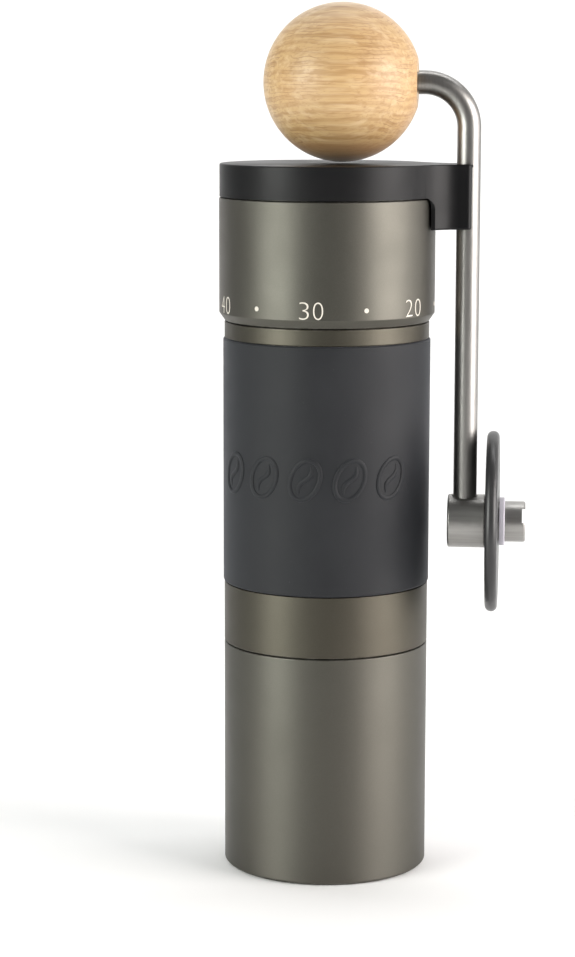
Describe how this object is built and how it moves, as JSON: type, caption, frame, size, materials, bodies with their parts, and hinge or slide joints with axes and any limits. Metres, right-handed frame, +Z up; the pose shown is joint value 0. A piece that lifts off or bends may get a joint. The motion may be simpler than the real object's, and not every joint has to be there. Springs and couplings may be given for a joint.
{
  "type": "hand crank coffee grinder",
  "caption": "Tall round hand coffee grinder with a ring dial, rubber grip sleeve, push-on catch cup and a bent crank with a wooden ball knob parked in the cap's clip.",
  "frame": {"origin": "on the grinder's axis, at the underside of the catch cup", "axes": "+Z up along the grinder's axis; +X from the axis to the parked crank's rod; -Y is the side that carries the numeral 30 at rest"},
  "size_m": [0.0788, 0.055, 0.2218],
  "materials": {
    "anodised_metal": "satin bead-blasted, anodised in a warm olive grey",
    "silicone": "matte, slightly dusty charcoal",
    "burr_steel": "ground hardened stainless",
    "bright_steel": "turned stainless",
    "crank_steel": "satin stainless",
    "black_plastic": "satin moulded black",
    "grey_plastic": "semi-gloss dark grey",
    "pale_plastic": "satin pale lavender grey",
    "beech": "fine-sanded and oiled, light honey",
    "brass": "turned"
  },
  "bodies": {
    "main_body": {"body_shell": "anodised_metal", "grip_sleeve": "silicone", "outer_burr": "burr_steel", "burr_clamp_ring": "bright_steel", "cup_seal_ring": "silicone", "lower_bearing_bracket": "bright_steel", "lower_bearing": "bright_steel", "spring_washer": "bright_steel", "dial_retaining_ring": "bright_steel", "carrier_guide_pin_1": "bright_steel", "carrier_guide_pin_2": "bright_steel", "carrier_guide_pin_3": "bright_steel", "detent_ball_1": "bright_steel", "detent_ball_2": "bright_steel", "detent_spring_1": "bright_steel", "detent_spring_2": "bright_steel"},
    "dial": {"adjustment_dial": "anodised_metal"},
    "carrier": {"bearing_carrier": "bright_steel", "upper_bearing": "bright_steel", "bearing_circlip": "bright_steel"},
    "drive": {"drive_shaft": "bright_steel", "inner_burr": "burr_steel", "burr_washer": "bright_steel", "burr_nut": "bright_steel", "preload_spring": "bright_steel"},
    "cap": {"storage_cap": "black_plastic", "cap_seal_ring": "silicone"},
    "crank": {"crank_rod": "crank_steel", "crank_hub": "crank_steel", "lid_collar": "pale_plastic", "knob_clip": "bright_steel"},
    "lid": {"lid_disc": "grey_plastic"},
    "knob": {"knob_ball": "beech", "knob_bush": "brass"},
    "cup": {"catch_cup": "anodised_metal"}
  },
  "joints": [
    {"name": "dial_turn", "type": "hinge", "parent": "main_body", "child": "dial", "pos_m": [0, 0, 0.16], "axis": [0, 0, 1], "range_deg": [-540, 900]},
    {"name": "carrier_lift", "type": "slide", "parent": "main_body", "child": "carrier", "axis": [0, 0, 1], "range_m": [-0.00241, 0.00145], "deforming": ["preload_spring"]},
    {"name": "shaft_spin", "type": "hinge", "parent": "carrier", "child": "drive", "pos_m": [0, 0, 0.164], "axis": [0, 0, 1], "continuous": true},
    {"name": "cap_lift", "type": "slide", "parent": "dial", "child": "cap", "axis": [0, 0, 1], "range_m": [0, 0.06]},
    {"name": "crank_unclip", "type": "slide", "parent": "cap", "child": "crank", "axis": [1, 0, 0], "range_m": [0, 0.03]},
    {"name": "lid_spin", "type": "hinge", "parent": "crank", "child": "lid", "pos_m": [0.043, 0, 0.0903], "axis": [1, 0, 0], "continuous": true},
    {"name": "knob_spin", "type": "hinge", "parent": "crank", "child": "knob", "pos_m": [0.00374, 0, 0.2018], "axis": [1, 0, 0], "continuous": true},
    {"name": "cup_pull", "type": "slide", "parent": "main_body", "child": "cup", "axis": [0, 0, -1], "range_m": [0, 0.07]}
  ],
  "couplings": [
    {"joint": "carrier_lift", "follows": "dial_turn", "m_per_rad": -0.00015279}
  ]
}
